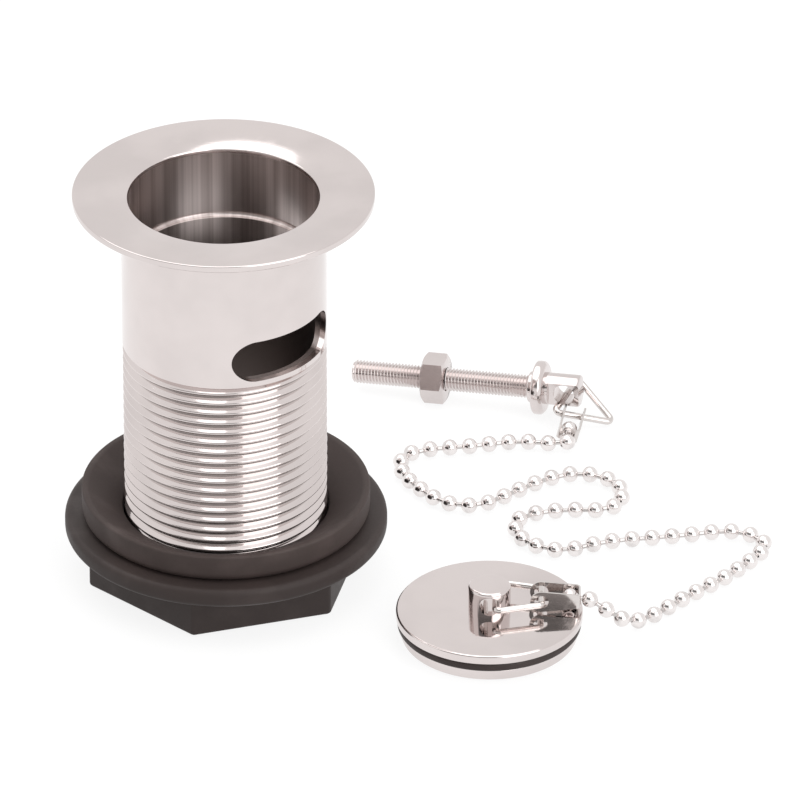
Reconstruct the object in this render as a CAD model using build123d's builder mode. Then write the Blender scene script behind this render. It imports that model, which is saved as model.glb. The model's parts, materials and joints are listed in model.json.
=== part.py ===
from build123d import *
import os
from math import asin, degrees, radians, sqrt, tan

# Plug and chain basin waste: a flanged waste with its washer and backnut, a plug, a ball chain
# and a chain stay. The set stands and lies on one floor at Z = 0. The origin is where the axis of
# the waste meets the floor, X runs to the right and Y away from the viewer. Sizes in millimetres.

# Waste body, one turned piece. Its tail is a 1 1/4 inch pipe thread.
waste_height = 88.0
tail_d = 41.9
tail_wall = 2.4
tail_bore_d = tail_d - 2 * tail_wall
tail_end_chamfer = 0.8
flange_d = 61.5
flange_t = 1.5
flange_dish = 0.9
flange_edge_r = 0.45
flange_root_r = 0.8
plug_bore_wall = 1.45
plug_bore_d = tail_d - 2 * plug_bore_wall
plug_bore_lip_r = 0.5
seat_depth = 16.0
seat_drop = 0.3
overflow_width = 26.0
overflow_height = 9.2
overflow_z = 59.7
overflow_angle = 43.0
thread_pitch = 2.309
thread_foot = 2.2
thread_top = 53.8
thread_depth = 1.45
thread_root_flat = 0.4
thread_angle = 55.0

# Backnut, a moulded hexagon under a round flange.
backnut_af = 51.0
backnut_hex_height = 9.3
backnut_flange_d = 66.3
backnut_flange_t = 4.0
backnut_flange_edge_r = 1.3
backnut_corner_r = 1.0
backnut_foot_chamfer = 0.7
backnut_turn = -12.9
backnut_clearance = 0.1

# Rubber washer, dished on top, lying on the flange of the backnut.
washer_d = 59.3
washer_t = 6.0
washer_dish = 4.3
washer_rim = 1.3
washer_dish_d = washer_d - 2 * washer_rim
washer_edge_r = 2.0
washer_rim_r = 0.5
washer_clearance = 0.3
washer_gap = 0.05

# Plug: a disc over a groove and a smaller disc, with a seal in the groove.
plug_x = 54.0
plug_y = -28.0
plug_clearance = 0.4
plug_top_t = 1.9
plug_top_edge_r = 0.6
plug_base_t = 2.5
plug_base_clearance = 0.5
plug_base_edge_r = 0.5
plug_groove_depth = 4.1
plug_groove_d = plug_bore_d - 2 * (plug_clearance + plug_groove_depth)
seal_t = 2.0
seal_inset = 0.3
seal_edge_r = 0.7
seal_gap = 0.05

# Post on the plug, with a cross hole for the wire link and a spigot in the disc.
post_d = 8.7
post_height = 5.7
post_edge_r = 0.6
post_hole_d = 4.2
post_hole_z = 2.85
spigot_d = 5.0
spigot_length = 4.5
spigot_gap = 0.05

# Ball chain: hollow balls on short pins.
bead_d = 3.4
bead_pitch = 4.2
pin_d = 0.9
pin_gap = 0.03
exit_drop = 0.8

# Folded strap that joins the chain to a wire link: two ears and an end plate.
strap_t = 0.4
strap_height = 4.6
strap_end_height = 3.0
strap_length = 8.0
strap_side_clearance = 0.15
strap_end_clearance = 0.05
strap_bend_r = 0.9
ear_hole_d = 2.9
pin_hole_d = 2.2

# Wire links, both of one wire: a trapezium on the plug, a triangle on the stay.
wire_d = 1.4
wire_bend_r = 0.9
wire_butt_gap = 0.1
plug_link_base = 11.6
plug_link_end = 6.8
plug_link_length = 9.4
plug_link_pull = 1.2
plug_link_drop = 0.1
stay_link_base = 12.0
stay_link_shift = 0.5
stay_link_length = 11.8
stay_link_pull = 0.1
stay_link_drop = 1.0
stay_link_yaw = -7.6
stay_link_roll = 10.0
stay_strap_place = 4.2
stay_strap_skew = 14.0

# Chain stay: a threaded shank, a collar and a flattened head with an eye, turned as one piece.
stay_x = 70.7
stay_y = 61.1
stay_heading = -14.3
shank_d = 4.9
shank_length = 38.2
shank_end_chamfer = 0.5
shoulder_d = 6.6
shoulder_length = 1.3
collar_d = 11.4
collar_t = 2.4
collar_chamfer = 0.7
head_d = 6.8
head_length = 7.4
head_af = 4.6
head_edge_r = 0.5
flat_inset = 0.8
eye_d = 4.6
eye_place = 4.2

# Hexagon nut on the shank.
stay_nut_af = 9.3
stay_nut_t = 4.8
stay_nut_place = 28.3
stay_nut_clearance = 0.1
stay_nut_chamfer_angle = 30.0

# Route of the chain on the floor, from the stay to the plug, as it was laid down.
floor_route = [
    (65.6, 46.4),
    (58.4, 46.6),
    (49.9, 44.9),
    (41.9, 43.7),
    (36.7, 40.7),
    (36.1, 35.2),
    (40.2, 27.2),
    (45.8, 21.7),
    (52.2, 21.1),
    (57.7, 24.7),
    (64.5, 30.2),
    (71.9, 33.6),
    (78.2, 32.2),
    (82.0, 25.3),
    (79.1, 19.5),
    (72.8, 19.0),
    (66.0, 18.2),
    (60.5, 15.3),
    (60.0, 9.6),
    (64.1, 4.4),
    (69.3, 2.8),
    (75.9, 5.2),
    (86.9, 7.6),
    (97.6, 9.4),
    (106.3, 9.9),
    (111.0, 5.4),
    (108.4, -0.9),
    (101.3, -9.4),
    (93.3, -17.1),
    (87.2, -23.4),
]
rise_route = [(83.0, -26.3, 2.3), (79.0, -27.8, 5.0)]

os.makedirs("parts", exist_ok=True)

# Heights and radii that follow from the sizes above
tail_r = tail_d / 2
flange_r = flange_d / 2
plug_bore_r = plug_bore_d / 2
flange_under = waste_height - flange_t
seat_top = waste_height - seat_depth
bead_r = bead_d / 2
wire_r = wire_d / 2


def corner(sketch, x, y):
    """The corner of a section that lies nearest to a point of its own plane."""
    return sketch.vertices().sort_by_distance((x, y))[0]


# Waste body, with its thread as level grooves at the pitch of the thread
flank_slope = tan(radians(thread_angle / 2))
groove_half = thread_root_flat / 2 + thread_depth * flank_slope
thread_turns = int((thread_top - thread_foot) / thread_pitch) + 1
with BuildPart() as waste_body:
    with BuildSketch(Plane.XZ) as waste_section:
        with BuildLine():
            Polyline(
                (tail_bore_d / 2, 0),
                (tail_r, 0),
                (tail_r, flange_under),
                (flange_r, flange_under),
                (flange_r, waste_height),
                (plug_bore_r, waste_height - flange_dish),
                (plug_bore_r, seat_top),
                (tail_bore_d / 2, seat_top - seat_drop),
                close=True,
            )
        make_face()
        chamfer(corner(waste_section, tail_r, 0), tail_end_chamfer)
        fillet(waste_section.vertices().group_by(Axis.X)[-1], flange_edge_r)
        fillet(corner(waste_section, tail_r, flange_under), flange_root_r)
        fillet(corner(waste_section, plug_bore_r, waste_height), plug_bore_lip_r)
    revolve(axis=Axis.Z)
    overflow_side = Plane((0, 0, overflow_z), x_dir=(1, 0, 0), z_dir=(0, -1, 0))
    with BuildSketch(overflow_side.rotated((0, 0, overflow_angle))):
        SlotOverall(overflow_width, overflow_height)
    extrude(amount=tail_r + tail_end_chamfer, both=True, mode=Mode.SUBTRACT)
    with BuildSketch(Plane.XZ):
        with Locations(*[(tail_r, thread_foot + turn * thread_pitch) for turn in range(thread_turns)]):
            Polygon(
                (thread_depth, -groove_half - thread_depth * flank_slope),
                (thread_depth, groove_half + thread_depth * flank_slope),
                (-thread_depth, thread_root_flat / 2),
                (-thread_depth, -thread_root_flat / 2),
                align=None,
            )
    revolve(axis=Axis.Z, mode=Mode.SUBTRACT)
waste_body.part.label = "waste_body"
export_step(waste_body.part, "parts/waste_body.step")

# Backnut
with BuildPart() as backnut:
    with BuildSketch() as hexagon:
        RegularPolygon(backnut_af / 2, 6, major_radius=False, rotation=backnut_turn - 90)
        fillet(hexagon.vertices(), backnut_corner_r)
    extrude(amount=backnut_hex_height)
    chamfer(backnut.faces().sort_by(Axis.Z)[0].edges(), backnut_foot_chamfer)
    with BuildSketch(Plane.XY.offset(backnut_hex_height)):
        Circle(backnut_flange_d / 2)
    extrude(amount=backnut_flange_t)
    fillet(backnut.edges().filter_by(GeomType.CIRCLE).sort_by(SortBy.RADIUS)[-2:], backnut_flange_edge_r)
    with BuildSketch():
        Circle(tail_r + backnut_clearance)
    extrude(amount=backnut_hex_height + backnut_flange_t, mode=Mode.SUBTRACT)
backnut.part.label = "backnut"
export_step(backnut.part, "parts/backnut.step")

# Rubber washer
washer_foot = backnut_hex_height + backnut_flange_t + washer_gap
washer_top = washer_foot + washer_t
washer_bore_r = tail_r + washer_clearance
with BuildPart() as rubber_washer:
    with BuildSketch(Plane.XZ) as washer_section:
        with BuildLine():
            Polyline(
                (washer_bore_r, washer_foot),
                (washer_d / 2, washer_foot),
                (washer_d / 2, washer_top),
                (washer_dish_d / 2, washer_top),
                (washer_bore_r, washer_top - washer_dish),
                close=True,
            )
        make_face()
        fillet(corner(washer_section, washer_d / 2, washer_foot), washer_edge_r)
        fillet(corner(washer_section, washer_d / 2, washer_top), washer_rim_r)
    revolve(axis=Axis.Z)
rubber_washer.part.label = "rubber_washer"
export_step(rubber_washer.part, "parts/rubber_washer.step")

# Plug disc
plug_r = plug_bore_r - plug_clearance
plug_base_r = tail_bore_d / 2 - plug_base_clearance
groove_top = plug_base_t + seal_t
plug_height = groove_top + plug_top_t
plug_axis = Axis((plug_x, plug_y, 0), (0, 0, 1))
plug_side = Plane((plug_x, plug_y, 0), x_dir=(1, 0, 0), z_dir=(0, -1, 0))
plug_top = Plane((plug_x, plug_y, plug_height))
with BuildPart() as plug_disc:
    with BuildSketch(plug_side) as plug_section:
        with BuildLine():
            Polyline(
                (0, 0),
                (plug_base_r, 0),
                (plug_base_r, plug_base_t),
                (plug_groove_d / 2, plug_base_t),
                (plug_groove_d / 2, groove_top),
                (plug_r, groove_top),
                (plug_r, plug_height),
                (0, plug_height),
                close=True,
            )
        make_face()
        fillet(corner(plug_section, plug_r, plug_height), plug_top_edge_r)
        fillet(corner(plug_section, plug_base_r, 0), plug_base_edge_r)
    revolve(axis=plug_axis)
    with BuildSketch(plug_top):
        Circle(spigot_d / 2 + spigot_gap)
    extrude(amount=-spigot_length - spigot_gap, mode=Mode.SUBTRACT)
plug_disc.part.label = "plug_disc"
export_step(plug_disc.part, "parts/plug_disc.step")

# Seal in the groove of the plug
with BuildPart() as plug_seal:
    with BuildSketch(plug_side) as seal_section:
        with BuildLine():
            Polyline(
                (plug_groove_d / 2 + seal_gap, plug_base_t + seal_gap),
                (plug_r - seal_inset, plug_base_t + seal_gap),
                (plug_r - seal_inset, groove_top - seal_gap),
                (plug_groove_d / 2 + seal_gap, groove_top - seal_gap),
                close=True,
            )
        make_face()
        fillet(seal_section.vertices().group_by(Axis.X)[-1], seal_edge_r)
    revolve(axis=plug_axis)
plug_seal.part.label = "plug_seal"
export_step(plug_seal.part, "parts/plug_seal.step")

# Post with its cross hole, seated on the plug
with BuildPart() as plug_post:
    with BuildSketch(plug_top):
        Circle(post_d / 2)
    extrude(amount=post_height)
    fillet(plug_post.edges().group_by(Axis.Z)[-1], post_edge_r)
    with BuildSketch(plug_top):
        Circle(spigot_d / 2)
    extrude(amount=-spigot_length)
    with BuildSketch(plug_side):
        with Locations((0, plug_height + post_hole_z)):
            Circle(post_hole_d / 2)
    extrude(amount=post_d, both=True, mode=Mode.SUBTRACT)
plug_post.part.label = "plug_post"
export_step(plug_post.part, "parts/plug_post.step")

# Wire link on the plug, from one butted end round to the other
plug_link_z = plug_height + post_hole_z - plug_link_drop
plug_link_plane = Plane((plug_x + plug_link_pull, plug_y, plug_link_z))
with BuildPart() as plug_link:
    with BuildLine(plug_link_plane) as plug_link_route:
        FilletPolyline(
            (0, wire_butt_gap / 2),
            (0, plug_link_base / 2),
            (plug_link_length, plug_link_end / 2),
            (plug_link_length, -plug_link_end / 2),
            (0, -plug_link_base / 2),
            (0, -wire_butt_gap / 2),
            radius=wire_bend_r,
        )
    with BuildSketch(Plane(plug_link_route.line @ 0, z_dir=plug_link_route.line % 0)):
        Circle(wire_r)
    sweep(path=plug_link_route.line)
plug_link.part.label = "plug_link"
export_step(plug_link.part, "parts/plug_link.step")

# Stay bolt, resting on its collar and on the flat of its nut
collar_back = eye_place + collar_t
nut_back = stay_nut_place + stay_nut_t / 2
stay_rise = degrees(asin((collar_d - stay_nut_af) / 2 / (nut_back - collar_back)))
level_side = Plane((stay_x, stay_y, 0), x_dir=(1, 0, 0), z_dir=(0, -1, 0))
lying_side = level_side.rotated((0, -stay_rise, stay_heading), Extrinsic.XYZ)
eye_z = collar_d / 2 * lying_side.y_dir.Z + collar_back * lying_side.x_dir.Z
stay_side = Plane((stay_x, stay_y, eye_z), x_dir=lying_side.x_dir, z_dir=lying_side.z_dir)
stay_axis = Axis(stay_side.origin, stay_side.x_dir)
head_end = head_length - eye_place
shoulder_back = collar_back + shoulder_length
shank_end = shoulder_back + shank_length
with BuildPart() as stay_bolt:
    with BuildSketch(stay_side) as stay_section:
        with BuildLine():
            Polyline(
                (-shank_end, 0),
                (-shank_end, shank_d / 2 - shank_end_chamfer),
                (-shank_end + shank_end_chamfer, shank_d / 2),
                (-shoulder_back, shank_d / 2),
                (-shoulder_back, shoulder_d / 2),
                (-collar_back, shoulder_d / 2),
                (-collar_back, collar_d / 2),
                (-eye_place - collar_chamfer, collar_d / 2),
                (-eye_place, collar_d / 2 - collar_chamfer),
                (-eye_place, head_d / 2),
                (head_end - head_edge_r, head_d / 2),
                (head_end, head_d / 2 - head_edge_r),
                (head_end, 0),
                close=True,
            )
        make_face()
    revolve(axis=stay_axis)
    flat_length = head_length - flat_inset + head_edge_r
    flat_middle = head_end + head_edge_r - flat_length / 2
    with BuildSketch(stay_side.offset(head_af / 2), (-stay_side).offset(head_af / 2)):
        with Locations((flat_middle, 0)):
            Rectangle(flat_length, head_d)
    extrude(amount=head_d, mode=Mode.SUBTRACT)
    with BuildSketch(stay_side):
        Circle(eye_d / 2)
    extrude(amount=head_d, both=True, mode=Mode.SUBTRACT)
stay_bolt.part.label = "stay_bolt"
export_step(stay_bolt.part, "parts/stay_bolt.step")

# Nut on the shank, with its corners turned off at both ends
nut_plane = Plane(
    stay_side.from_local_coords((-nut_back, 0, 0)), x_dir=stay_side.y_dir, z_dir=stay_side.x_dir
)
nut_corner_r = stay_nut_af / sqrt(3)
nut_corner_drop = (nut_corner_r - stay_nut_af / 2) * tan(radians(stay_nut_chamfer_angle))
nut_front = nut_back - stay_nut_t
with BuildPart() as stay_nut:
    with BuildSketch(nut_plane):
        RegularPolygon(stay_nut_af / 2, 6, major_radius=False, rotation=30)
        Circle(shank_d / 2 + stay_nut_clearance, mode=Mode.SUBTRACT)
    extrude(amount=stay_nut_t)
    with BuildSketch(stay_side):
        with BuildLine():
            Polyline(
                (-nut_back, 0),
                (-nut_back, stay_nut_af / 2),
                (-nut_back + nut_corner_drop, nut_corner_r),
                (-nut_front - nut_corner_drop, nut_corner_r),
                (-nut_front, stay_nut_af / 2),
                (-nut_front, 0),
                close=True,
            )
        make_face()
    revolve(axis=stay_axis, mode=Mode.INTERSECT)
stay_nut.part.label = "stay_nut"
export_step(stay_nut.part, "parts/stay_nut.step")

# Wire link on the stay: one side in the eye, the far corner down at the floor
stay_link_seat = stay_side.from_local_coords((stay_link_pull, -stay_link_drop, 0))
stay_link_fall = degrees(asin((stay_link_seat.Z - wire_r) / stay_link_length))
stay_link_turn = (stay_link_roll, stay_link_fall, stay_heading + stay_link_yaw)
stay_link_plane = Plane(stay_link_seat).rotated(stay_link_turn, Extrinsic.XYZ)
with BuildPart() as stay_link:
    with BuildLine(stay_link_plane) as stay_link_route:
        FilletPolyline(
            (0, wire_butt_gap / 2 - stay_link_shift),
            (0, stay_link_base / 2 - stay_link_shift),
            (stay_link_length, -stay_link_shift),
            (0, -stay_link_base / 2 - stay_link_shift),
            (0, -wire_butt_gap / 2 - stay_link_shift),
            radius=wire_bend_r,
        )
    with BuildSketch(Plane(stay_link_route.line @ 0, z_dir=stay_link_route.line % 0)):
        Circle(wire_r)
    sweep(path=stay_link_route.line)
stay_link.part.label = "stay_link"
export_step(stay_link.part, "parts/stay_link.step")

# Folded straps, one at each end of the chain. Each lies on a plane with its origin between the
# ears, X towards the chain and Y across the ears.
near_corner = stay_link_plane.from_local_coords((0, -stay_link_base / 2 - stay_link_shift, 0))
far_corner = stay_link_plane.from_local_coords((stay_link_length, -stay_link_shift, 0))
near_wire = (far_corner - near_corner).normalized()
strap_heading = near_wire.cross(Vector(0, 0, 1)).normalized().rotate(Axis.Z, -stay_strap_skew)
stay_strap_plane = Plane(
    near_corner + near_wire * stay_strap_place,
    x_dir=strap_heading,
    z_dir=strap_heading.cross(near_wire),
)
plug_strap_plane = Plane((plug_x + plug_link_pull + plug_link_length, plug_y, plug_link_z))
strap_width = bead_d + 2 * (strap_side_clearance + strap_t)
ear_r = strap_height / 2
for strap_name, strap_plane in (("stay_strap", stay_strap_plane), ("plug_strap", plug_strap_plane)):
    strap_side = Plane(strap_plane.origin, x_dir=strap_plane.x_dir, z_dir=-strap_plane.y_dir)
    end_plate = Plane(
        strap_plane.from_local_coords((strap_length, 0, 0)), z_dir=strap_plane.x_dir
    )
    with BuildPart() as strap:
        with BuildSketch(strap_side):
            Circle(ear_r)
            with Locations((strap_length - strap_t / 2, 0)):
                Rectangle(strap_t, strap_end_height)
            make_hull()
        extrude(amount=strap_width / 2, both=True)
        upright = Axis(strap_plane.origin, strap_plane.z_dir)
        lengthwise = Axis(strap_plane.origin, strap_plane.x_dir)
        fillet(strap.edges().filter_by(upright).sort_by(lengthwise)[-2:], strap_bend_r)
        with BuildSketch(strap_plane):
            with Locations(((strap_length - strap_t - ear_r) / 2, 0)):
                Rectangle(strap_length - strap_t + ear_r, strap_width - 2 * strap_t)
        extrude(amount=strap_height, both=True, mode=Mode.SUBTRACT)
        with BuildSketch(strap_side):
            Circle(ear_hole_d / 2)
        extrude(amount=strap_width, both=True, mode=Mode.SUBTRACT)
        with BuildSketch(end_plate):
            Circle(pin_hole_d / 2)
        extrude(amount=-2 * strap_t, mode=Mode.SUBTRACT)
    strap.part.label = strap_name
    export_step(strap.part, f"parts/{strap_name}.step")

# Ball chain: balls at even steps along the route, and a pin between each ball and the next
held_place = strap_length - strap_t - strap_end_clearance - bead_r
held_bead = (held_place, 0, 0)
freed_bead = (held_place + bead_pitch, 0, -exit_drop)
lying_points = [(x, y, bead_r) for x, y in floor_route]
with BuildLine():
    chain_route = Spline(
        stay_strap_plane.from_local_coords(held_bead),
        stay_strap_plane.from_local_coords(freed_bead),
        *lying_points,
        *rise_route,
        plug_strap_plane.from_local_coords(freed_bead),
        plug_strap_plane.from_local_coords(held_bead),
    )
bead_steps = round(chain_route.length / bead_pitch)
route_points = [chain_route @ (step / bead_steps) for step in range(bead_steps + 1)]
bead_points = [Vector(point.X, point.Y, max(point.Z, bead_r)) for point in route_points]
with BuildPart() as chain_beads:
    with Locations(*bead_points):
        Sphere(bead_r)
chain_beads.part.label = "chain_beads"
export_step(chain_beads.part, "parts/chain_beads.step")

with BuildPart() as chain_pins:
    for here, there in zip(bead_points, bead_points[1:]):
        link = there - here
        with Locations(Plane(here + link * 0.5, z_dir=link)):
            Cylinder(pin_d / 2, link.length - bead_d - 2 * pin_gap)
chain_pins.part.label = "chain_pins"
export_step(chain_pins.part, "parts/chain_pins.step")
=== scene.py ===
import json
from math import cos, pi, radians, sin, sqrt, tan

import bmesh
import bpy
from mathutils import Matrix, Vector


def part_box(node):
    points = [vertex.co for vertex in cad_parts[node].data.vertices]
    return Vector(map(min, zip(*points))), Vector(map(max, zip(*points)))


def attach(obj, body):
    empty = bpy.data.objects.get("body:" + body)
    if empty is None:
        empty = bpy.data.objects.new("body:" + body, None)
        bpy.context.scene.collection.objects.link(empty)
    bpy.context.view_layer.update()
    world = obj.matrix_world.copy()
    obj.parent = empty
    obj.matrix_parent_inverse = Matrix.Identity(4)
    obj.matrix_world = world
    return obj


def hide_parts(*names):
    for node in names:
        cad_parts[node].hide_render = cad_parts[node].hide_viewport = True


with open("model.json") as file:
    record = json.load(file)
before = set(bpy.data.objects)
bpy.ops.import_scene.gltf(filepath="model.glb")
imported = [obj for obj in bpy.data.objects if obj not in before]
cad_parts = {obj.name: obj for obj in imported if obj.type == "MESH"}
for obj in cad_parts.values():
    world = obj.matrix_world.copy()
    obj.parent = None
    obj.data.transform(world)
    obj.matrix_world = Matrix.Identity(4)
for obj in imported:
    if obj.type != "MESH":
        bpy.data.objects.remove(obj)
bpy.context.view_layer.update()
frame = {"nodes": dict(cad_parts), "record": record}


# Waste body: a brass casting, turned, threaded over its lower half and plated with bright chrome.
# The flange beds on the basin, and two slots in the smooth wall take the overflow water. All sizes
# of the pieces are in millimetres and are scaled to metres when a shape is drawn.
MM = 0.001
ROUND = 224
TAIL_R, BORE_R, MOUTH_R, FLANGE_R = 20.95, 18.55, 19.5, 30.75
WASTE_H, FLANGE_T, FLANGE_DISH = 88.0, 1.5, 0.9
SEAT_Z, SEAT_FOOT_Z = 72.0, 71.7
THREAD_PITCH, THREAD_TOP, CREST_R, CORE_R = 2.309, 54.0, 20.8, 19.5
THREAD_ANGLE, THREAD_SOFT, THREAD_STEPS, TAIL_CHAMFER = radians(70), 1.3, 144, 0.8
SLOT_W, SLOT_H, SLOT_Z, SLOT_TURN = 26.0, 9.2, 59.7, 43.0
CUT_PAST = 2.0
CHROME = (0.705, 0.645, 0.633)


class Value:
    """A value in a shader. Sums and products of values add Math nodes."""

    def __init__(self, tree, socket=None):
        self.tree = tree
        self.socket = socket

    def node(self, kind, settings=None, sockets=None, out=0):
        """Adds a node: its settings first, then the values or links of its sockets."""
        made = self.tree.nodes.new("ShaderNode" + kind)
        for name, value in (settings or {}).items():
            setattr(made, name, value)
        for name, value in (sockets or {}).items():
            if isinstance(value, Value):
                self.tree.links.new(value.socket, made.inputs[name])
            else:
                made.inputs[name].default_value = value
        return Value(self.tree, made.outputs[out])

    def maths(self, operation, first, second=0.0):
        return self.node("Math", {"operation": operation}, {0: first, 1: second})

    def __add__(self, other):
        return self.maths("ADD", self, other)

    def __sub__(self, other):
        return self.maths("SUBTRACT", self, other)

    def __rsub__(self, other):
        return self.maths("SUBTRACT", other, self)

    def __mul__(self, other):
        return self.maths("MULTIPLY", self, other)

    __radd__ = __add__
    __rmul__ = __mul__

    def ramp(self, low, high):
        """0 below low, 1 above high and smooth between them."""
        limits = {"Value": self, "From Min": low, "From Max": high}
        return self.node("MapRange", {"interpolation_type": "SMOOTHSTEP"}, limits)

    def mix(self, first, second):
        """A colour between two, by this value."""
        return self.node("Mix", {"data_type": "RGBA"}, {0: self, 6: first, 7: second}, out=2)


def new_finish(name):
    """An empty material: its values, its shader and its Object coordinates."""
    material = bpy.data.materials.new(name)
    material.use_nodes = True
    values = Value(material.node_tree)
    shader = material.node_tree.nodes["Principled BSDF"]
    place = values.node("TexCoord", out=3)
    return material, values, shader, place


def feed(values, shader, **sockets):
    """Links values to the shader's sockets, or sets plain numbers there."""
    for name, value in sockets.items():
        socket = shader.inputs[name.replace("_", " ")]
        if isinstance(value, Value):
            values.tree.links.new(value.socket, socket)
        else:
            socket.default_value = value


def chrome_plate(name, tint, centre=None, rough=0.05, grain=0.10, bore=None):
    """Bright chrome with a faint haze, finger marks, and lathe marks round a centre.

    Inside a bore, given as its radius, top and seat, the plate is thin and dull. Its colour is darker,
    partly the dull plate's own colour and partly painted shade, with streaks round the bore painted in
    as reflections, and below the seat it darkens further to a painted shade.
    """
    material, values, shader, place = new_finish(name)
    haze = values.node("TexNoise", None, {"Vector": place, "Scale": 55.0, "Detail": 3.0})
    smears = {"Vector": place, "Scale": 210.0, "Detail": 5.0, "Roughness": 0.62}
    marks = values.node("TexNoise", None, smears).ramp(0.60, 0.74)
    fine = values.node("TexNoise", None, {"Vector": place, "Scale": 2600.0, "Detail": 2.0})
    height = fine * 0.35
    if centre is not None:
        origin = (-centre[0] * MM, -centre[1] * MM, 0.0)
        shifted = values.node("Mapping", None, {"Vector": place, "Location": origin})
        flat = values.node("VectorMath", {"operation": "MULTIPLY"}, {0: shifted, 1: (1.0, 1.0, 0.0)})
        reach = values.node("VectorMath", {"operation": "LENGTH"}, {0: flat}, out=1)
        lathe = {"W": reach, "Scale": 2400.0, "Detail": 3.0}
        rings = values.node("TexNoise", {"noise_dimensions": "1D"}, lathe)
        height = height + rings
    bump = values.node("Bump", None, {"Strength": grain, "Distance": 0.00002, "Height": height})
    pale = tuple(min(1.0, c * 1.035) for c in tint) + (1.0,)
    deep = tuple(c * 0.955 for c in tint) + (1.0,)
    colour = haze.ramp(0.35, 0.65).mix(deep, pale)
    gloss = rough + haze * 0.035 + marks * 0.06
    if bore is not None:
        bore_r, bore_top, seat_z = bore
        level = values.node("SeparateXYZ", None, {0: place}, out=2)
        inside = 1.0 - reach.ramp((bore_r + 0.12) * MM, (bore_r + 0.3) * MM)
        inside = inside * (1.0 - level.ramp((bore_top - 1.2) * MM, (bore_top - 0.2) * MM))
        round_way = values.node("VectorMath", {"operation": "NORMALIZE"}, {0: flat})
        # Painted reflections: light and dark streaks by angle round the bore, over a darker colour that is
        # partly the dull plate and partly painted shade.
        runs = {"Vector": round_way, "Scale": 7.0, "Detail": 5.0, "Roughness": 0.65}
        painted_streaks = values.node("TexNoise", None, runs).ramp(0.34, 0.70)
        dull_plate_and_painted_streaks = painted_streaks.mix((0.42, 0.36, 0.345, 1.0), (0.74, 0.66, 0.64, 1.0))
        # Painted shade: below the seat the bore's colour darkens with depth to a deep grey-brown.
        above_painted_shade = level.ramp((seat_z - 10.0) * MM, (seat_z - 3.0) * MM)
        colour = inside.mix(colour, above_painted_shade.mix((0.27, 0.235, 0.225, 1.0), dull_plate_and_painted_streaks))
        gloss = gloss + inside * 0.27
    feed(values, shader, Base_Color=colour, Roughness=gloss, Metallic=1.0, Normal=bump)
    return material


def soften(bm, geom, radius, segments, affect="VERTICES"):
    """Rounds the corners of a wire, or the edges of a solid."""
    bmesh.ops.bevel(
        bm,
        geom=geom,
        offset=radius * MM,
        offset_type="OFFSET",
        segments=segments,
        profile=0.5,
        affect=affect,
        material=-1,
    )


def rotate(bm, angle, axis):
    """Turns a shape about an axis through the origin."""
    bmesh.ops.rotate(bm, verts=bm.verts[:], cent=(0, 0, 0), matrix=Matrix.Rotation(angle, 3, axis))


def shift(bm, way):
    """Moves a shape, by metres."""
    bmesh.ops.translate(bm, verts=bm.verts[:], vec=way)


def section(bm, points, rounds, segments=6):
    """A closed wire section in the XZ plane, with the numbered corners rounded."""
    corners = [bm.verts.new((x * MM, 0, z * MM)) for x, z in points]
    for here, there in zip(corners, corners[1:] + corners[:1]):
        bm.edges.new((here, there))
    for radius in sorted(set(rounds.values())):
        alike = [corners[number] for number, value in rounds.items() if value == radius]
        soften(bm, alike, radius, segments)


def turned(points, rounds, steps=ROUND, segments=6):
    """A closed section turned about Z."""
    bm = bmesh.new()
    section(bm, points, rounds, segments)
    bmesh.ops.spin(
        bm,
        geom=bm.verts[:] + bm.edges[:],
        cent=(0, 0, 0),
        axis=(0, 0, 1),
        angle=2 * pi,
        steps=steps,
        use_merge=True,
    )
    bmesh.ops.remove_doubles(bm, verts=bm.verts[:], dist=1e-7)
    bmesh.ops.recalc_face_normals(bm, faces=bm.faces[:])
    return bm


def screw_thread(crest_r, pitch, low, high, steps, angle, segments):
    """The skin of a right-hand thread about Z, cut off level at both ends."""
    bm = bmesh.new()
    depth = pitch / 2 / tan(angle / 2)
    blunt = depth / 6
    count = int((high - low) / pitch) + 3
    line = []
    for tooth in range(count):
        foot = low + (tooth - 1.5) * pitch
        line.append(bm.verts.new(((crest_r + blunt - depth) * MM, 0, foot * MM)))
        line.append(bm.verts.new(((crest_r + blunt) * MM, 0, (foot + pitch / 2) * MM)))
    for here, there in zip(line, line[1:]):
        bm.edges.new((here, there))
    soften(bm, line[1:-1], blunt / cos(angle / 2) * THREAD_SOFT, segments)
    bmesh.ops.spin(
        bm,
        geom=bm.verts[:] + bm.edges[:],
        cent=(0, 0, 0),
        axis=(0, 0, 1),
        dvec=(0, 0, pitch * MM / steps),
        angle=2 * pi,
        steps=steps,
    )
    bmesh.ops.remove_doubles(bm, verts=bm.verts[:], dist=1e-6)
    for level, way in ((low, -1), (high, 1)):
        bmesh.ops.bisect_plane(
            bm,
            geom=bm.verts[:] + bm.edges[:] + bm.faces[:],
            plane_co=(0, 0, level * MM),
            plane_no=(0, 0, way),
            clear_outer=True,
        )
    bmesh.ops.recalc_face_normals(bm, faces=bm.faces[:])
    return bm


def outward(bm):
    """Turns the faces of an open skin about Z away from its axis."""
    total = 0.0
    for face in bm.faces:
        middle = face.calc_center_median()
        total += face.normal.dot(Vector((middle.x, middle.y, 0)))
    if total < 0:
        bmesh.ops.reverse_faces(bm, faces=bm.faces[:])
    return bm


def chamfered(bm, radius, foot):
    """Pares the low end of a thread about Z to a cone that has the radius at the foot."""
    for vert in bm.verts:
        reach = Vector((vert.co.x, vert.co.y, 0))
        limit = radius * MM + vert.co.z - foot * MM
        if reach.length > limit:
            vert.co -= reach.normalized() * (reach.length - limit)
    return bm


def joined(*shapes):
    """One shape from several, which are used up."""
    mesh = bpy.data.meshes.new("joined")
    whole = bmesh.new()
    for shape in shapes:
        shape.to_mesh(mesh)
        shape.free()
        whole.from_mesh(mesh)
    bpy.data.meshes.remove(mesh)
    return whole


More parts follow.
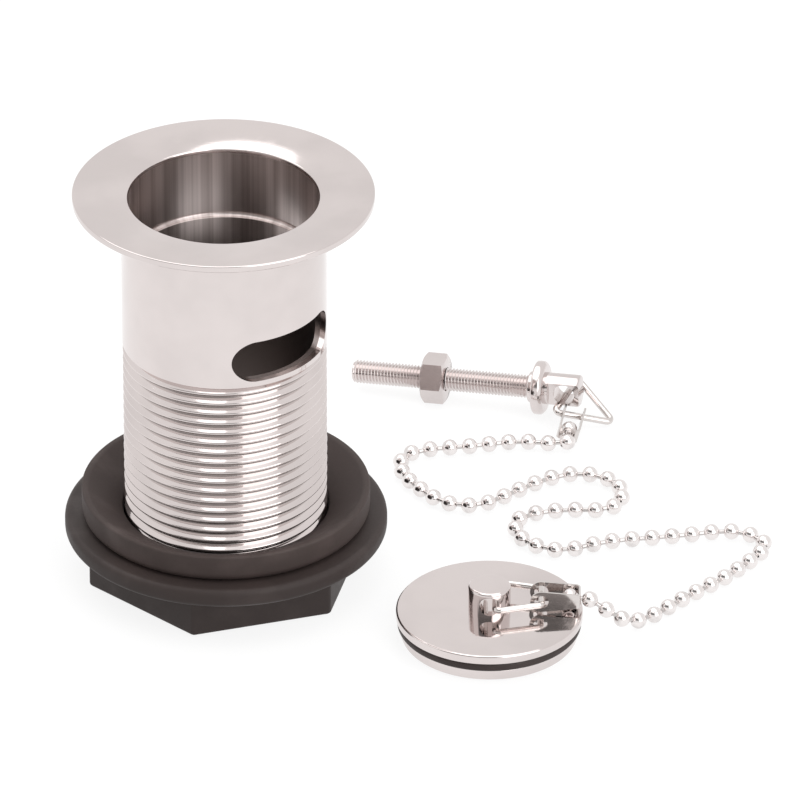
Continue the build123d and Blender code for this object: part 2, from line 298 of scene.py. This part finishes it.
def cut(bm, tool, operation="DIFFERENCE"):
    """Cuts a tool out of a blank, or keeps only what lies in both. Both are used up."""
    objects = []
    for shape in (bm, tool):
        mesh = bpy.data.meshes.new("blank")
        shape.to_mesh(mesh)
        shape.free()
        objects.append(bpy.data.objects.new("blank", mesh))
        bpy.context.scene.collection.objects.link(objects[-1])
    blank, cutter = objects
    step = blank.modifiers.new("cut", "BOOLEAN")
    step.operation = operation
    step.solver = "EXACT"
    step.object = cutter
    result = bmesh.new()
    result.from_object(blank, bpy.context.evaluated_depsgraph_get())
    for used in objects:
        mesh = used.data
        bpy.data.objects.remove(used)
        bpy.data.meshes.remove(mesh)
    return result


def bar(outline, low, high):
    """A solid bar along Z from a closed wire outline."""
    face = bmesh.ops.contextual_create(outline, geom=outline.verts[:] + outline.edges[:])["faces"]
    bmesh.ops.translate(outline, verts=outline.verts[:], vec=(0, 0, low * MM))
    raised = bmesh.ops.extrude_face_region(outline, geom=face, use_keep_orig=True)["geom"]
    moved = [part for part in raised if isinstance(part, bmesh.types.BMVert)]
    bmesh.ops.translate(outline, verts=moved, vec=(0, 0, (high - low) * MM))
    bmesh.ops.recalc_face_normals(outline, faces=outline.faces[:])
    return outline


def disc(radius, segments):
    """A wire circle."""
    bm = bmesh.new()
    bmesh.ops.create_circle(bm, cap_ends=False, radius=radius * MM, segments=segments)
    return bm


def keep(bm, name, node, body, finish, sharp=32):
    """Makes a shape the piece that stands for a node and moves with its body."""
    mesh = bpy.data.meshes.new(name)
    bm.to_mesh(mesh)
    bm.free()
    mesh.shade_smooth()
    mesh.set_sharp_from_angle(angle=radians(sharp))
    mesh.materials.append(finish)
    made = bpy.data.objects.new(name, mesh)
    bpy.context.scene.collection.objects.link(made)
    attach(made, body)
    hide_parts(node)
    return made


waste = turned(
    [
        (BORE_R, 0),
        (CORE_R, 0),
        (CORE_R, THREAD_TOP),
        (TAIL_R, THREAD_TOP),
        (TAIL_R, WASTE_H - FLANGE_T),
        (FLANGE_R, WASTE_H - FLANGE_T),
        (FLANGE_R, WASTE_H),
        (MOUTH_R, WASTE_H - FLANGE_DISH),
        (MOUTH_R, SEAT_Z),
        (BORE_R, SEAT_FOOT_Z),
    ],
    {0: 0.25, 4: 0.8, 5: 0.4, 6: 0.3, 7: 0.3, 8: 0.7, 9: 0.12},
)
slot_tool = disc(SLOT_H / 2, 64)
for vert in slot_tool.verts:
    vert.co.x += (SLOT_W - SLOT_H) / 2 * MM * ((vert.co.x > 1e-6) - (vert.co.x < -1e-6))
slot_tool = bar(slot_tool, -TAIL_R - CUT_PAST, TAIL_R + CUT_PAST)
rotate(slot_tool, pi / 2, "X")
rotate(slot_tool, radians(SLOT_TURN), "Z")
shift(slot_tool, (0, 0, SLOT_Z * MM))
waste = cut(waste, slot_tool)
thread = screw_thread(CREST_R, THREAD_PITCH, 0.0, THREAD_TOP, THREAD_STEPS, THREAD_ANGLE, 4)
thread = chamfered(outward(thread), TAIL_R - TAIL_CHAMFER, 0.0)
waste_bore = (MOUTH_R, WASTE_H - FLANGE_DISH, SEAT_Z)
body_chrome = chrome_plate("waste_chrome", CHROME, centre=(0, 0), bore=waste_bore)
keep(joined(waste, thread), "threaded_waste", "waste_body", "waste", body_chrome)


# Backnut: moulded in one from black plastic, a hexagon under a round flange, with a matt skin and
# softened edges. It screws up the tail and clamps the waste to the basin.
NUT_AF, HEX_H, NUT_FLANGE_R, NUT_TOP, NUT_TURN, NUT_BORE_R = 51.0, 9.3, 33.15, 13.3, -12.9, 21.05
HEX_CORNER, HEX_FOOT, HEX_LAP, NUT_FLANGE_ROUND = 0.6, 0.7, 0.5, 1.3


def moulded_black(name, colour, grain, rough):
    """Matt black plastic or rubber with a fine skin, a little dust and rubbed patches."""
    material, values, shader, place = new_finish(name)
    skin = values.node("TexNoise", None, {"Vector": place, "Scale": grain, "Detail": 4.0, "Roughness": 0.6})
    rubbed = values.node("TexNoise", None, {"Vector": place, "Scale": 90.0, "Detail": 4.0}).ramp(0.45, 0.72)
    specks = values.node("TexVoronoi", None, {"Vector": place, "Scale": 1400.0}).ramp(0.10, 0.03)
    tone = rubbed * 0.55 + specks * 0.25
    bump = values.node("Bump", None, {"Strength": 0.25, "Distance": 0.00006, "Height": skin})
    worn = tuple(c * 1.55 + 0.004 for c in colour) + (1.0,)
    feed(
        values,
        shader,
        Base_Color=tone.mix(colour + (1.0,), worn),
        Roughness=rough + skin * 0.12 - rubbed * 0.10,
        Specular_IOR_Level=0.35,
        Normal=bump,
    )
    return material


hexagon = disc(NUT_AF / sqrt(3), 6)
rotate(hexagon, radians(NUT_TURN), "Z")
soften(hexagon, hexagon.verts[:], HEX_CORNER, 4)
hexagon = bar(hexagon, 0, HEX_H + HEX_LAP)
foot = [edge for edge in hexagon.edges if max(vert.co.z for vert in edge.verts) < 1e-6]
soften(hexagon, foot, HEX_FOOT, 3, "EDGES")
hexagon = cut(hexagon, bar(disc(NUT_BORE_R, 128), -1, HEX_H + CUT_PAST))
nut_flange = turned(
    [(NUT_BORE_R, HEX_H), (NUT_FLANGE_R, HEX_H), (NUT_FLANGE_R, NUT_TOP), (NUT_BORE_R, NUT_TOP)],
    {1: NUT_FLANGE_ROUND, 2: NUT_FLANGE_ROUND},
)
nut_black = moulded_black("backnut_black", (0.040, 0.0285, 0.0262), 1500.0, 0.52)
keep(joined(hexagon, nut_flange), "hex_backnut", "backnut", "nut", nut_black)


# Washer: a thick black rubber ring with a dished top inside a narrow rim, which seals the waste
# against the underside of the basin.
WASHER_FOOT, WASHER_TOP, WASHER_DISH = 13.35, 19.35, 4.3
WASHER_R, WASHER_RIM, WASHER_BORE_R = 29.65, 1.3, 21.25
washer = turned(
    [
        (WASHER_BORE_R, WASHER_FOOT),
        (WASHER_R, WASHER_FOOT),
        (WASHER_R, WASHER_TOP),
        (WASHER_R - WASHER_RIM, WASHER_TOP),
        (WASHER_BORE_R, WASHER_TOP - WASHER_DISH),
    ],
    {1: 2.0, 2: 0.5, 3: 0.4, 4: 0.3},
    segments=8,
)
washer_black = moulded_black("washer_rubber", (0.060, 0.0435, 0.040), 2100.0, 0.60)
keep(washer, "dished_washer", "rubber_washer", "washer", washer_black)


# Plug: a turned brass disc with a groove round its edge, chromed like the waste. The rubber ring in
# the groove seals it in the mouth of the waste.
plug_low, plug_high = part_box("plug_disc")
PLUG_X, PLUG_Y = ((low + high) / 2 / MM for low, high in zip(plug_low[:2], plug_high[:2]))
PLUG_R, PLUG_BASE_R, GROOVE_R, GROOVE_FOOT, GROOVE_TOP, PLUG_TOP = 19.1, 18.05, 15.0, 2.5, 4.5, 6.4
plug_place = Vector((PLUG_X * MM, PLUG_Y * MM, 0))
plug = turned(
    [
        (0, 0),
        (PLUG_BASE_R, 0),
        (PLUG_BASE_R, GROOVE_FOOT),
        (GROOVE_R, GROOVE_FOOT),
        (GROOVE_R, GROOVE_TOP),
        (PLUG_R, GROOVE_TOP),
        (PLUG_R, PLUG_TOP),
        (0, PLUG_TOP),
    ],
    {1: 0.9, 2: 0.25, 5: 0.25, 6: 0.45},
)
shift(plug, plug_place)
plug_chrome = chrome_plate("plug_chrome", CHROME, centre=(PLUG_X, PLUG_Y))
keep(plug, "polished_plug", "plug_disc", "plug", plug_chrome)

SEAL_GAP, SEAL_R, SEAL_ROUND = 0.05, 18.8, 0.7
seal = turned(
    [
        (GROOVE_R + SEAL_GAP, GROOVE_FOOT + SEAL_GAP),
        (SEAL_R, GROOVE_FOOT + SEAL_GAP),
        (SEAL_R, GROOVE_TOP - SEAL_GAP),
        (GROOVE_R + SEAL_GAP, GROOVE_TOP - SEAL_GAP),
    ],
    {1: SEAL_ROUND, 2: SEAL_ROUND},
)
shift(seal, plug_place)
seal_black = moulded_black("seal_rubber", (0.046, 0.033, 0.0305), 2300.0, 0.50)
keep(seal, "plug_ring", "plug_seal", "plug", seal_black)


# Post: a short turned stud, riveted into the plug, with a cross hole for the wire link. It is
# chromed like the plug and rounded at the top.
POST_R, POST_TOP, POST_ROUND, POST_HOLE_R, POST_HOLE_Z = 4.35, 12.1, 0.6, 2.1, 9.25
post = turned(
    [(0, PLUG_TOP), (POST_R, PLUG_TOP), (POST_R, POST_TOP), (0, POST_TOP)], {2: POST_ROUND}, 96
)
post_drill = bar(disc(POST_HOLE_R, 48), -POST_R - CUT_PAST, POST_R + CUT_PAST)
rotate(post_drill, pi / 2, "X")
shift(post_drill, (0, 0, POST_HOLE_Z * MM))
post = cut(post, post_drill)
shift(post, plug_place)
keep(post, "rivet_post", "plug_post", "plug", chrome_plate("post_chrome", CHROME))


# Wire links: plated steel wire bent to a trapezium on the plug and to a triangle on the stay. The
# two ends of each wire butt together inside the hole that holds the link.
WIRE_R, WIRE_BEND, BUTT_GAP = 0.7, 0.9, 0.1
WIRE_TINT = (0.69, 0.65, 0.632)


def bent_wire(corners):
    """A round wire along straight runs, bent at each corner, with both ends closed."""
    bm = bmesh.new()
    points = [Vector(corner) * MM for corner in corners]
    heading = (points[1] - points[0]).normalized()
    start = Matrix.Translation(points[0]) @ heading.to_track_quat("Z", "Y").to_matrix().to_4x4()
    bmesh.ops.create_circle(bm, cap_ends=True, radius=WIRE_R * MM, segments=24, matrix=start)
    rim = bm.edges[:]
    here = points[0]
    for before, at, after in zip(points, points[1:], points[2:] + [None]):
        heading = (at - before).normalized()
        stop = at
        if after is not None:
            turn = (after - at).angle(heading)
            stop = at - heading * (WIRE_BEND * MM * tan(turn / 2))
        drawn = bmesh.ops.extrude_edge_only(bm, edges=rim)["geom"]
        front = [part for part in drawn if isinstance(part, bmesh.types.BMVert)]
        bmesh.ops.translate(bm, verts=front, vec=stop - here)
        here = stop
        if after is not None:
            axis = heading.cross(after - at).normalized()
            centre = here + axis.cross(heading) * (WIRE_BEND * MM)
            tip = [part for part in drawn if not isinstance(part, bmesh.types.BMFace)]
            bend = bmesh.ops.spin(bm, geom=tip, cent=centre, axis=axis, angle=turn, steps=8)
            drawn = bend["geom_last"]
            here = at + (after - at).normalized() * (WIRE_BEND * MM * tan(turn / 2))
        rim = [part for part in drawn if isinstance(part, bmesh.types.BMEdge)]
    bmesh.ops.contextual_create(bm, geom=rim)
    bmesh.ops.recalc_face_normals(bm, faces=bm.faces[:])
    return bm


def plated_wire(name, tint):
    """Plated wire: bright, with the fine lines of the drawing die and small dull patches."""
    material, values, shader, place = new_finish(name)
    lines = values.node("TexNoise", None, {"Vector": place, "Scale": 3200.0, "Detail": 3.0})
    dull = values.node("TexNoise", None, {"Vector": place, "Scale": 420.0, "Detail": 4.0}).ramp(0.5, 0.72)
    bump = values.node("Bump", None, {"Strength": 0.18, "Distance": 0.00002, "Height": lines})
    shade = tuple(c * 0.86 for c in tint) + (1.0,)
    feed(
        values,
        shader,
        Base_Color=dull.mix(tint + (1.0,), shade),
        Roughness=0.09 + lines * 0.04 + dull * 0.10,
        Metallic=1.0,
        Normal=bump,
    )
    return material


LINK_OFFSET, LINK_SAG, LINK_L, LINK_BASE, LINK_END = 1.2, 0.1, 9.4, 11.6, 6.8
LINK_X, LINK_Z = PLUG_X + LINK_OFFSET, POST_HOLE_Z - LINK_SAG
plug_link = bent_wire(
    [
        (LINK_X, PLUG_Y + BUTT_GAP / 2, LINK_Z),
        (LINK_X, PLUG_Y + LINK_BASE / 2, LINK_Z),
        (LINK_X + LINK_L, PLUG_Y + LINK_END / 2, LINK_Z),
        (LINK_X + LINK_L, PLUG_Y - LINK_END / 2, LINK_Z),
        (LINK_X, PLUG_Y - LINK_BASE / 2, LINK_Z),
        (LINK_X, PLUG_Y - BUTT_GAP / 2, LINK_Z),
    ]
)
wire_finish = plated_wire("wire_chrome", WIRE_TINT)
keep(plug_link, "plug_wire", "plug_link", "plug_shackle", wire_finish)

TRIANGLE_BASE, TRIANGLE_L, STRAP_PLACE, EYE_PULL, EYE_DROP = 12.0, 11.8, 4.2, 0.1, 1.0
hinges = {joint["name"]: joint for joint in frame["record"]["behaviour"]["joints"]}
stay_eye = Vector(hinges["stay_swing"]["pos_m"]) / MM
stay_side = -Vector(hinges["stay_swing"]["axis"])
stay_way = -Vector(hinges["stay_nut_travel"]["axis"])
near_wire = Vector(hinges["stay_link_swing"]["axis"])
strap_place = Vector(hinges["stay_link_swing"]["pos_m"]) / MM
near_corner = strap_place - near_wire * STRAP_PLACE
far_corner = near_corner + near_wire * sqrt(TRIANGLE_L**2 + (TRIANGLE_BASE / 2) ** 2)
eye_seat = stay_eye + stay_way * EYE_PULL - stay_side.cross(stay_way) * EYE_DROP
base_way = (eye_seat - near_corner).normalized()
back_corner = near_corner + base_way * TRIANGLE_BASE
butt = near_corner + base_way * (TRIANGLE_BASE / 2)
butt_side = base_way * (BUTT_GAP / 2)
stay_link = bent_wire([butt + butt_side, back_corner, far_corner, near_corner, butt - butt_side])
keep(stay_link, "stay_wire", "stay_link", "stay_ring", wire_finish)


# Straps: short strips of plated steel, pierced and folded round the last ball at each end of the
# chain. Their two ears hang on the wire links.
STRAP_T, STRAP_L, STRAP_W, STRAP_BEND, STRAP_END_H = 0.4, 8.0, 4.5, 0.9, 3.0
EAR_R, EAR_HOLE_R, PIN_HOLE_R, STRAP_SKEW, STRAP_SPARE = 2.3, 1.45, 1.1, 14.0, 1.0


def folded_strap(place):
    """A strip folded to a U along X, tapered to its end, with holes in its round ears and its end."""
    bm = bmesh.new()
    side, inner = STRAP_W / 2, STRAP_W / 2 - STRAP_T
    tail, web = -2 * EAR_R, STRAP_L - STRAP_T
    outside = ((tail, -side), (STRAP_L, -side), (STRAP_L, side), (tail, side))
    inside = ((tail, inner), (web, inner), (web, -inner), (tail, -inner))
    corners = [bm.verts.new((x * MM, y * MM, 0)) for x, y in outside + inside]
    for here, there in zip(corners, corners[1:] + corners[:1]):
        bm.edges.new((here, there))
    for bend, radius in ((corners[1:3], STRAP_BEND), (corners[5:7], STRAP_BEND - STRAP_T)):
        soften(bm, bend, radius, 8)
    bm = bar(bm, -EAR_R - STRAP_SPARE, EAR_R + STRAP_SPARE)
    ears = disc(EAR_R, 72)
    slope = (EAR_R - STRAP_END_H / 2) / STRAP_L
    ahead = [vert for vert in ears.verts if vert.co.x > EAR_R * slope * MM]
    bmesh.ops.delete(ears, geom=ahead, context="VERTS")
    loose = [vert for vert in ears.verts if len(vert.link_edges) == 1]
    loose.sort(key=lambda vert: vert.co.y)
    reach = STRAP_L + STRAP_SPARE
    ends = [ears.verts.new((reach * MM, way * (EAR_R - slope * reach) * MM, 0)) for way in (-1, 1)]
    for here, there in ((loose[0], ends[0]), (ends[0], ends[1]), (ends[1], loose[1])):
        ears.edges.new((here, there))
    ears = bar(ears, -STRAP_W, STRAP_W)
    rotate(ears, pi / 2, "X")
    bm = cut(bm, ears, "INTERSECT")
    ear_drill = bar(disc(EAR_HOLE_R, 40), -STRAP_W, STRAP_W)
    rotate(ear_drill, pi / 2, "X")
    bm = cut(bm, ear_drill)
    end_drill = bar(disc(PIN_HOLE_R, 32), STRAP_L - CUT_PAST, STRAP_L + CUT_PAST)
    rotate(end_drill, pi / 2, "Y")
    bm = cut(bm, end_drill)
    bmesh.ops.transform(bm, matrix=place, verts=bm.verts[:])
    return bm


def stance(origin, x_way, z_way):
    """A place in the model from an origin in millimetres and two directions."""
    x_way, z_way = Vector(x_way).normalized(), Vector(z_way).normalized()
    turn = Matrix((x_way, z_way.cross(x_way), z_way)).transposed().to_4x4()
    return Matrix.Translation(Vector(origin) * MM) @ turn


strip_finish = plated_wire("strip_chrome", WIRE_TINT)
plug_strap = folded_strap(stance((LINK_X + LINK_L, PLUG_Y, LINK_Z), (1, 0, 0), (0, 0, 1)))
keep(plug_strap, "plug_fold", "plug_strap", "waste", strip_finish)
strap_way = near_wire.cross(Vector((0, 0, 1))).normalized()
strap_way = Matrix.Rotation(radians(-STRAP_SKEW), 3, "Z") @ strap_way
stay_strap = folded_strap(stance(strap_place, strap_way, strap_way.cross(near_wire)))
keep(stay_strap, "stay_fold", "stay_strap", "waste", strip_finish)


# Ball chain: hollow plated balls, rolled from strip, on short pins with heads inside the balls. The
# balls and pins lie where the model has them.
BALL_R, PIN_R, PIN_L, PIN_REACH = 1.7, 0.45, 1.3, 2.9
LIP_NARROW, LIP_DEPTH, POLE_SLACK = 0.92, 0.25, 0.001


def lumps(node):
    """The middle of each separate solid of a node."""
    bm = bmesh.new()
    bm.from_mesh(frame["nodes"][node].data)
    bmesh.ops.remove_doubles(bm, verts=bm.verts[:], dist=1e-6)
    left = set(bm.verts)
    found = []
    while left:
        group, fresh = set(), [left.pop()]
        while fresh:
            vert = fresh.pop()
            group.add(vert)
            near = {edge.other_vert(vert) for edge in vert.link_edges} & left
            left -= near
            fresh.extend(near)
        spots = [vert.co.copy() for vert in group]
        low = Vector([min(spot[i] for spot in spots) for i in range(3)])
        high = Vector([max(spot[i] for spot in spots) for i in range(3)])
        found.append((low + high) / 2)
    bm.free()
    return found


def ball():
    """One ball about the origin along Z, open at both ends, with the lips turned in."""
    bm = bmesh.new()
    bmesh.ops.create_uvsphere(bm, u_segments=28, v_segments=18, radius=BALL_R * MM)
    poles = [vert for vert in bm.verts if abs(vert.co.z) > (BALL_R - POLE_SLACK) * MM]
    bmesh.ops.delete(bm, geom=poles, context="VERTS")
    for way in (-1, 1):
        rim = [edge for edge in bm.edges if edge.is_boundary and edge.verts[0].co.z * way > 0]
        lip = bmesh.ops.extrude_edge_only(bm, edges=rim)["geom"]
        turned_in = [part for part in lip if isinstance(part, bmesh.types.BMVert)]
        bmesh.ops.scale(bm, verts=turned_in, vec=(LIP_NARROW, LIP_NARROW, 1.0))
        bmesh.ops.translate(bm, verts=turned_in, vec=(0, 0, -LIP_DEPTH * way * MM))
    bmesh.ops.recalc_face_normals(bm, faces=bm.faces[:])
    return bm


balls = lumps("chain_beads")
pins = []
for middle in lumps("chain_pins"):
    ends = [spot for spot in balls if (spot - middle).length < PIN_REACH * MM]
    pins.append((middle, ends[1] - ends[0]))

ball_mesh = bpy.data.meshes.new("ball")
one = ball()
one.to_mesh(ball_mesh)
one.free()
chain = bmesh.new()
for middle in balls:
    near_pins = [(spot - middle, way) for spot, way in pins if (spot - middle).length < PIN_REACH * MM]
    ways = [(way if way.dot(reach) > 0 else -way).normalized() for reach, way in near_pins]
    heading = ways[0] if len(ways) == 1 else (ways[0] - ways[1]).normalized()
    first = len(chain.verts)
    chain.from_mesh(ball_mesh)
    chain.verts.ensure_lookup_table()
    stand = Matrix.Translation(middle) @ heading.to_track_quat("Z", "Y").to_matrix().to_4x4()
    bmesh.ops.transform(chain, matrix=stand, verts=chain.verts[first:])
bpy.data.meshes.remove(ball_mesh)
ball_finish = plated_wire("ball_chrome", (0.84, 0.80, 0.79))
keep(chain, "chain_balls", "chain_beads", "waste", ball_finish, sharp=50)

rods = bmesh.new()
for middle, way in pins:
    stand = Matrix.Translation(middle) @ way.to_track_quat("Z", "Y").to_matrix().to_4x4()
    bmesh.ops.create_cone(
        rods,
        cap_ends=True,
        segments=14,
        radius1=PIN_R * MM,
        radius2=PIN_R * MM,
        depth=PIN_L * MM,
        matrix=stand,
    )
pin_finish = plated_wire("pin_chrome", (0.60, 0.57, 0.56))
keep(rods, "chain_rods", "chain_pins", "waste", pin_finish)


# Chain stay: a turned brass screw with a collar and a flattened head, drilled for the wire triangle.
# It goes through a hole in the basin and is held by a hexagon nut. Both are chromed.
SHANK_END, SHOULDER, COLLAR_BACK, COLLAR_FRONT, HEAD_END = -46.1, -7.9, -6.6, -4.2, 3.2
SHANK_R, SHANK_CORE_R, SHOULDER_R, COLLAR_R, HEAD_R = 2.45, 2.02, 3.3, 5.7, 3.4
HEAD_HALF, FLAT_INSET, FLAT_BLOCK, EYE_R = 2.3, 0.8, 8.0, 2.3
SCREW_PITCH, SCREW_ANGLE, SCREW_STEPS, SCREW_CHAMFER = 0.7, radians(64), 40, 0.5
COLLAR_CHAMFER, TIP_SETBACK, TIP_CHAMFER = 0.7, 0.1, 0.2
stay_turn = Matrix((stay_side.cross(stay_way), stay_side, stay_way)).transposed().to_4x4()
stay_place = Matrix.Translation(stay_eye * MM) @ stay_turn
shaft = turned(
    [
        (0, SHANK_END),
        (SHANK_CORE_R - TIP_SETBACK, SHANK_END),
        (SHANK_CORE_R, SHANK_END + TIP_CHAMFER),
        (SHANK_CORE_R, SHOULDER),
        (SHOULDER_R, SHOULDER),
        (SHOULDER_R, COLLAR_BACK),
        (COLLAR_R, COLLAR_BACK),
        (COLLAR_R, COLLAR_FRONT - COLLAR_CHAMFER),
        (COLLAR_R - COLLAR_CHAMFER, COLLAR_FRONT),
        (HEAD_R, COLLAR_FRONT),
        (HEAD_R, HEAD_END),
        (0, HEAD_END),
    ],
    {4: 0.4, 6: 0.5, 7: 0.3, 8: 0.3, 10: 0.5},
    96,
    4,
)
for side in (-1, 1):
    flat = bmesh.new()
    bmesh.ops.create_cube(flat, size=FLAT_BLOCK * MM)
    flat_y = side * (HEAD_HALF + FLAT_BLOCK / 2)
    flat_z = COLLAR_FRONT + FLAT_INSET + FLAT_BLOCK / 2
    shift(flat, (0, flat_y * MM, flat_z * MM))
    shaft = cut(shaft, flat)
eye_drill = bar(disc(EYE_R, 48), -HEAD_R - CUT_PAST, HEAD_R + CUT_PAST)
rotate(eye_drill, pi / 2, "X")
shaft = cut(shaft, eye_drill)
screw = screw_thread(SHANK_R, SCREW_PITCH, SHANK_END, SHOULDER, SCREW_STEPS, SCREW_ANGLE, 2)
screw = chamfered(outward(screw), SHANK_R - SCREW_CHAMFER, SHANK_END)
stay = joined(shaft, screw)
bmesh.ops.transform(stay, matrix=stay_place, verts=stay.verts[:])
stay_chrome = chrome_plate("stay_chrome", CHROME, rough=0.08, grain=0.2)
keep(stay, "stay_screw", "stay_bolt", "stay", stay_chrome)

HEX_NUT_AF, HEX_NUT_BACK, HEX_NUT_FRONT, HEX_NUT_BORE_R = 9.3, -30.7, -25.9, 2.55
NUT_CHAMFER_ANGLE, NUT_CHAMFER_SPARE, NUT_CHAMFER_RUN = radians(30), 0.2, 1.25
hex_r = HEX_NUT_AF / sqrt(3)
hex_nut = bar(disc(hex_r, 6), HEX_NUT_BACK, HEX_NUT_FRONT)
drop = (hex_r - HEX_NUT_AF / 2) * tan(NUT_CHAMFER_ANGLE) * NUT_CHAMFER_RUN
crown_r = hex_r + NUT_CHAMFER_SPARE
crown = turned(
    [
        (HEX_NUT_BORE_R, HEX_NUT_BACK),
        (HEX_NUT_AF / 2, HEX_NUT_BACK),
        (crown_r, HEX_NUT_BACK + drop),
        (crown_r, HEX_NUT_FRONT - drop),
        (HEX_NUT_AF / 2, HEX_NUT_FRONT),
        (HEX_NUT_BORE_R, HEX_NUT_FRONT),
    ],
    {},
    96,
)
hex_nut = cut(hex_nut, crown, "INTERSECT")
bmesh.ops.transform(hex_nut, matrix=stay_place, verts=hex_nut.verts[:])
nut_chrome = chrome_plate("nut_chrome", CHROME, rough=0.20, grain=0.5)
keep(hex_nut, "stay_hexnut", "stay_nut", "stay_hexagon", nut_chrome)


# Floor and studio: a white floor that keeps the soft shadows, a pale tent of light all round, dark
# where the camera stands, with one bright soft box to the right of it.
FLOOR_HALF, FLOOR_DROP, FLOOR_GREY, FLOOR_GLOW = 6.0, 0.0002, 0.18, 0.85
LAMP_AIM = Vector((0.03, 0.01, 0.03))
floor_mesh = bpy.data.meshes.new("floor")
floor_shape = bmesh.new()
bmesh.ops.create_grid(floor_shape, x_segments=1, y_segments=1, size=FLOOR_HALF)
shift(floor_shape, (0, 0, -FLOOR_DROP))
floor_shape.to_mesh(floor_mesh)
floor_shape.free()
floor = bpy.data.objects.new("floor", floor_mesh)
bpy.context.scene.collection.objects.link(floor)
paper, values, shader, place = new_finish("white_paper")
rays = values.node("LightPath").socket.node.outputs
seen = Value(values.tree, rays["Is Camera Ray"])
mirrored = Value(values.tree, rays["Is Glossy Ray"])
through = Value(values.tree, rays["Is Transmission Ray"])
feed(
    values,
    shader,
    Base_Color=(FLOOR_GREY, FLOOR_GREY, FLOOR_GREY, 1.0),
    Roughness=1.0,
    Specular_IOR_Level=0.0,
    Emission_Color=(1.0, 1.0, 1.0, 1.0),
    Emission_Strength=(seen + mirrored + through) * FLOOR_GLOW,
)
floor_mesh.materials.append(paper)

world = bpy.data.worlds.new("tent")
bpy.context.scene.world = world
world.use_nodes = True
values = Value(world.node_tree)
sky = world.node_tree.nodes["Background"]
way = values.node("TexCoord", out=0)
split = values.node("SeparateXYZ", None, {0: way}).socket.node
across, deep, up = (Value(values.tree, split.outputs[i]) for i in range(3))
azimuth = values.maths("ARCTAN2", across, deep * -1.0)
rise = values.maths("ARCSINE", up)


def patch(left, right, low, high, soft):
    """1 inside a window of the tent, given in degrees from the camera's side, and 0 outside it."""
    left, right, low, high, soft = (radians(v) for v in (left, right, low, high, soft))
    side = azimuth.ramp(left - soft, left + soft) * (1.0 - azimuth.ramp(right - soft, right + soft))
    return side * rise.ramp(low - soft, low + soft) * (1.0 - rise.ramp(high - soft, high + soft))


dark = patch(-66, 18, 25, 50, 5)
bright = patch(20, 62, 2, 58, 3)
high_bright = patch(38, 97, 56, 82, 4)
zenith = rise.ramp(radians(58), radians(72))
tent = 0.95 - dark * 0.78 + bright * 0.30 + high_bright * 0.25 + zenith * 0.16
camera_ray = values.node("LightPath")
tone = values.node("CombineColor", None, {0: tent, 1: tent * 0.99, 2: tent * 0.984})
white = camera_ray.mix(tone, (1.0, 1.0, 1.0, 1.0))
values.tree.links.new(white.socket, sky.inputs["Color"])
sky.inputs["Strength"].default_value = 1.0

for name, spot, size, power in (
    ("top_box", (-0.10, 0.15, 0.80), 0.90, 2.4),
    ("side_box", (0.45, -0.53, 0.42), 0.60, 1.5),
):
    lamp = bpy.data.lights.new(name, "AREA")
    lamp.energy = power
    lamp.size = size
    stand = bpy.data.objects.new(name, lamp)
    stand.location = spot
    stand.rotation_euler = (LAMP_AIM - Vector(spot)).to_track_quat("-Z", "Y").to_euler()
    bpy.context.scene.collection.objects.link(stand)


# Camera: a long lens, about 30 degrees above the floor, straight from the front. Its width of view
# is given at the middle of the set.
CAMERA_RISE, CAMERA_REACH, FRAME_WIDTH, SENSOR = 30.3, 2.5, 0.165, 36.0
target = Vector((0.03577, 0.0171, 0.0292))
lens = bpy.data.cameras.new("camera")
lens.sensor_width = SENSOR
lens.lens = SENSOR * CAMERA_REACH / FRAME_WIDTH
lens.clip_end = 50.0
camera = bpy.data.objects.new("camera", lens)
back = Vector((0, -cos(radians(CAMERA_RISE)), sin(radians(CAMERA_RISE))))
camera.location = target + back * CAMERA_REACH
camera.rotation_euler = (-back).to_track_quat("-Z", "Y").to_euler()
bpy.context.scene.collection.objects.link(camera)
bpy.context.scene.camera = camera
bpy.context.scene.view_settings.view_transform = "Standard"
